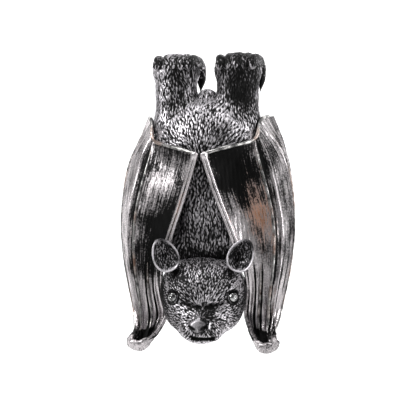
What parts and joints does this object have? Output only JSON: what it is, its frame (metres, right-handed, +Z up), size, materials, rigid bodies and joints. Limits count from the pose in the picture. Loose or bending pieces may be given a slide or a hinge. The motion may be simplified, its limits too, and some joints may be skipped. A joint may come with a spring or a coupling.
{
  "type": "hanging bat ornament",
  "caption": "Antique-silver cast bat that hangs head down by hooked feet from a rail or pot rim, wings folded round its furry body and its face looking out at the front.",
  "frame": {"origin": "on the axis of the rail that the toes hook over, midway between the feet", "axes": "+X along the rail to the right-hand side seen from the front, +Y towards the flat back, +Z up; the face looks along -Y"},
  "size_m": [0.096, 0.0651, 0.1588],
  "materials": {
    "fur_silver": "antique silver with dark recesses, carved fur",
    "web_silver": "antique silver, streaked and burnished",
    "edge_silver": "burnished bright silver",
    "eye_silver": "polished dark silver",
    "plate_silver": "dark brushed silver",
    "steel": "zinc-plated",
    "pad_rubber": "matte black"
  },
  "bodies": {
    "root": {"torso_shell": "fur_silver", "back_cover": "plate_silver", "cover_screws": "steel", "back_pads": "pad_rubber", "head_shell": "fur_silver", "head_plug": "plate_silver", "neck_stud": "steel", "neck_washer": "steel", "neck_nut": "steel", "leg_studs": "steel", "leg_washers": "steel", "leg_nuts": "steel", "left_eye": "eye_silver", "left_ear": "fur_silver", "left_leg": "fur_silver", "left_toes": "fur_silver", "left_forearm": "edge_silver", "left_web_edge": "edge_silver", "left_finger_ribs": "edge_silver", "left_wing_web": "web_silver", "left_wing_dowels": "steel", "right_eye": "eye_silver", "right_ear": "fur_silver", "right_leg": "fur_silver", "right_toes": "fur_silver", "right_forearm": "edge_silver", "right_web_edge": "edge_silver", "right_finger_ribs": "edge_silver", "right_wing_web": "web_silver", "right_wing_dowels": "steel"}
  },
  "joints": []
}
